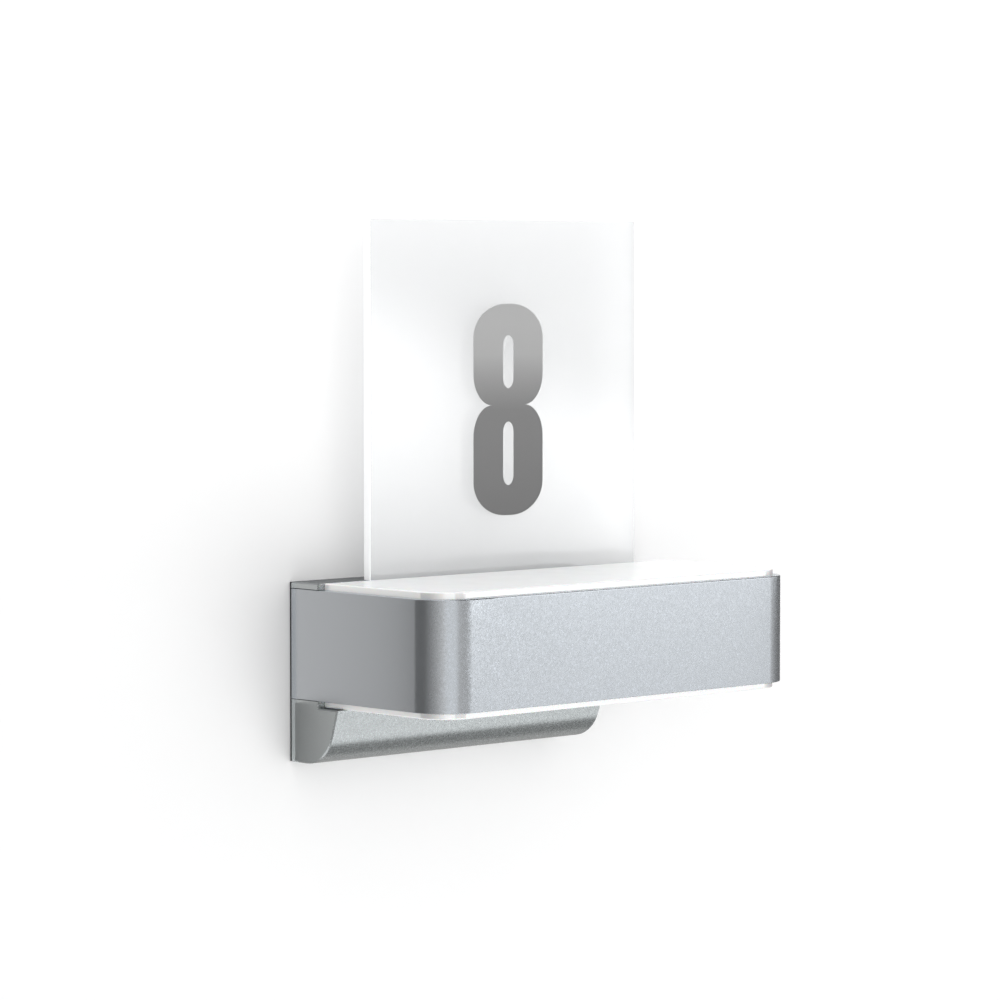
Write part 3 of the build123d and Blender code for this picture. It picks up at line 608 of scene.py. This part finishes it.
flags = {
    "sideFlag": {"x": (-0.162, -0.162), "y": (-0.083, -0.005), "z": (-0.12, 0.25), "glow": (0.13, 0.13)},
    "rampFlag": {"x": (-0.162, -0.162), "y": (-0.2, -0.083), "z": (-0.12, 0.25), "glow": (0.97, 0.17)},
    "wallFlag": {"x": (-0.24, -0.12), "y": (-0.003, -0.003), "z": (-0.06, 0.25), "glow": (0.36, 0.65)},
    "nearFlag": {"x": (-0.12, -0.087), "y": (-0.003, -0.003), "z": (-0.014, 0.25), "glow": (0.65, 0.73)},
    "footFlag": {"x": (-0.12, -0.086), "y": (-0.003, -0.003), "z": (-0.12, -0.014), "glow": (0.64, 0.17)},
    "underFlag": {"x": (-0.086, 0.45), "y": (-0.003, -0.003), "z": (-0.1, -0.043), "glow": (0.38, 0.38)},
    "deepFlag": {"x": (-0.086, 0.45), "y": (-0.003, -0.003), "z": (-0.3, -0.1), "glow": (0.1, 0.1)},
    "frontFlag": {"x": (-0.18, 0.52), "y": (-1.2, -1.2), "z": (-0.4, 0.9), "glow": (0.6, 0.5)},
    "evenFlag": {"x": (0.9, 1.75), "y": (-1.39, -1.39), "z": (-0.7, -0.09), "glow": (1.06, 1.06),
                 "cloth": "plain"},
    "edgeFlag": {"x": (0.6, 0.9), "y": (-1.39, -1.39), "z": (-0.7, -0.1), "glow": (0.5, 0.5)},
    "pastFlag": {"x": (1.75, 2.0), "y": (-1.39, -1.39), "z": (-0.7, -0.1), "glow": (0.4, 0.4)},
    "splitFlag": {"x": (-0.05, 0.13), "y": (-0.106, -1.38), "z": (0.042, -0.09), "glow": (1.62, 1.62),
                  "far": (0.95, 1.7), "cloth": "plain"},
    "turnFlag": {"x": (0.39, 0.44), "y": (-0.324, -0.15), "z": (-0.2, 0.02), "glow": (0.6, 0.2)},
    "endFlag": {"x": (0.44, 0.3), "y": (-0.15, -0.002), "z": (-0.2, 0.2), "glow": (0.2, 0.15)},
    "topFlag": {"x": (0.0, 1.4), "y": (-0.9, 0.0), "z": (0.6, 0.6), "glow": (0.05, 0.05)},
    "lowFlag": {"x": (-0.1, 0.7), "y": (-0.15, 0.0), "z": (-0.3, -0.3), "glow": (0.06, 0.06)},
}
clothColours = {"warm": "#FFFCF9", "plain": "#FEFEFE"}


def flagMaterial(name, colour):  # cloth that glows from one level to the other, as stored at its corners
    material, tree = bareMaterial(name)
    level = addNode(tree, "ShaderNodeAttribute", attribute_name="glow").outputs["Fac"]
    glow = addNode(tree, "ShaderNodeEmission", {"Strength": level, "Color": hexColour(colour)})
    addNode(tree, "ShaderNodeOutputMaterial", {"Surface": glow.outputs[0]})
    return material


def hideSheet(sheet):  # leaves a stage sheet to reflections alone
    for kind in ("camera", "diffuse", "shadow", "transmission"):
        setattr(sheet, "visible_" + kind, False)


def addFlag(name, flag, material):
    (x0, x1), (y0, y1), (z0, z1) = flag["x"], flag["y"], flag["z"]
    corners = [(x0, y0, z0), (x1, y1, z0), (x1, y1, z1), (x0, y0, z1)]
    if z0 == z1 or "far" in flag:  # lies flat or slopes from its near edge to its far one
        farLeft, farRight = flag.get("far", flag["x"])
        corners = [(x0, y0, z0), (x1, y0, z0), (farRight, y1, z1), (farLeft, y1, z1)]
    sheet = addSheet(name, corners, material)
    near, far = flag["glow"]
    sheet.data.attributes.new("glow", "FLOAT", "POINT").data.foreach_set("value", (near, far, far, near))
    hideSheet(sheet)


cloths = {key: flagMaterial(key + "Cloth", colour) for key, colour in clothColours.items()}
for name, flag in flags.items():
    addFlag(name, flag, cloths[flag.get("cloth", "warm")])


# A card with a bright slanted band, mirrored in the panel and caught by the flakes of the front

card = {
    "left": 0.6, "right": 2.0, "low": -0.7, "high": 0.8, "depth": -1.4, "level": 4.2,
    "slant": 0.333, "ridge": 0.481, "below": 0.27, "above": 0.1, "base": "#757575", "crest": "#FFFFFF",
}


def cardMaterial():  # cloth that glows most along the slanted ridge and falls off to both sides
    material, tree = bareMaterial("gradientCardCloth")
    place = addNode(tree, "ShaderNodeTexCoord").outputs["Object"]
    axes = addNode(tree, "ShaderNodeSeparateXYZ", {0: place}).outputs
    across = addNode(tree, "ShaderNodeMath", {0: axes["X"], 1: card["slant"], 2: axes["Z"]},
                     operation="MULTIPLY_ADD")
    share = addNode(tree, "ShaderNodeMapRange", {
        "Value": across.outputs[0], "From Min": card["ridge"] - card["below"],
        "From Max": card["ridge"] + card["above"]})
    tone = addNode(tree, "ShaderNodeValToRGB", {"Fac": share.outputs["Result"]})
    tone.color_ramp.interpolation = "EASE"
    middle = card["below"] / (card["below"] + card["above"])
    tone = setRamp(tone, [(0.0, card["base"]), (middle, card["crest"]), (1.0, card["base"])])
    glow = addNode(tree, "ShaderNodeEmission", {"Color": tone, "Strength": card["level"]})
    addNode(tree, "ShaderNodeOutputMaterial", {"Surface": glow.outputs[0]})
    return material


def addCard():
    left, right, low, high, depth = (card[key] for key in ("left", "right", "low", "high", "depth"))
    corners = [(right, depth, low), (left, depth, low), (left, depth, high), (right, depth, high)]
    hideSheet(addSheet("gradientCard", corners, cardMaterial()))


addCard()


# Light: a wide soft key from the front right and low, a weak fill from the left and a white surround

lamps = {
    "keyLamp": {"place": (0.75, -1.95, -0.46), "size": 1.6, "power": 12.9},
    "fillLamp": {"place": (-1.6, -1.4, 0.9), "size": 1.2, "power": 1.0},
}
target = Vector((0.03, -0.05, 0.07))
surround = {"colour": "#FFFFFF", "below": 0.12, "above": 1.36, "seen": 1.0}


def addLamp(name, lamp):
    data = bpy.data.lights.new(name, "AREA")
    data.energy = lamp["power"]
    data.size = lamp["size"]
    light = bpy.data.objects.new(name, data)
    light.location = lamp["place"]
    light.rotation_euler = (target - light.location).to_track_quat("-Z", "Y").to_euler()
    light.visible_glossy = False  # reflections show the surround and the flags instead
    bpy.context.scene.collection.objects.link(light)


def addSurround():  # lights more from above than from below, but looks evenly white
    world = bpy.data.worlds.new("studioSurround")
    world.use_nodes = True
    tree = world.node_tree
    upward = addNode(tree, "ShaderNodeTexCoord").outputs["Generated"]
    upward = addNode(tree, "ShaderNodeSeparateXYZ", {0: upward}).outputs["Z"]
    dome = addNode(tree, "ShaderNodeMapRange", {
        "Value": upward, "From Min": -1.0, "To Min": surround["below"], "To Max": surround["above"]})
    path = addNode(tree, "ShaderNodeLightPath").outputs
    level = addNode(tree, "ShaderNodeMapRange", {
        "Value": seenShare(tree, path), "To Min": dome.outputs["Result"], "To Max": surround["seen"]})
    background = tree.nodes["Background"].inputs
    background["Color"].default_value = hexColour(surround["colour"])
    tree.links.new(level.outputs["Result"], background["Strength"])
    bpy.context.scene.world = world


for name, lamp in lamps.items():
    addLamp(name, lamp)
addSurround()
bpy.context.scene.view_settings.view_transform = "Standard"


# Camera at the photograph's place, for a square image

lens = {"place": (-1.28953, -1.42736, 0.18552), "yaw": 0.75257, "pitch": 0.0568, "focal": 146.4}
data = bpy.data.cameras.new("photoCamera")
data.lens = lens["focal"]
camera = bpy.data.objects.new("photoCamera", data)
camera.location = lens["place"]
camera.rotation_euler = (pi / 2 - lens["pitch"], 0, -lens["yaw"])
bpy.context.scene.collection.objects.link(camera)
bpy.context.scene.camera = camera
print("stage, lamps and camera set")
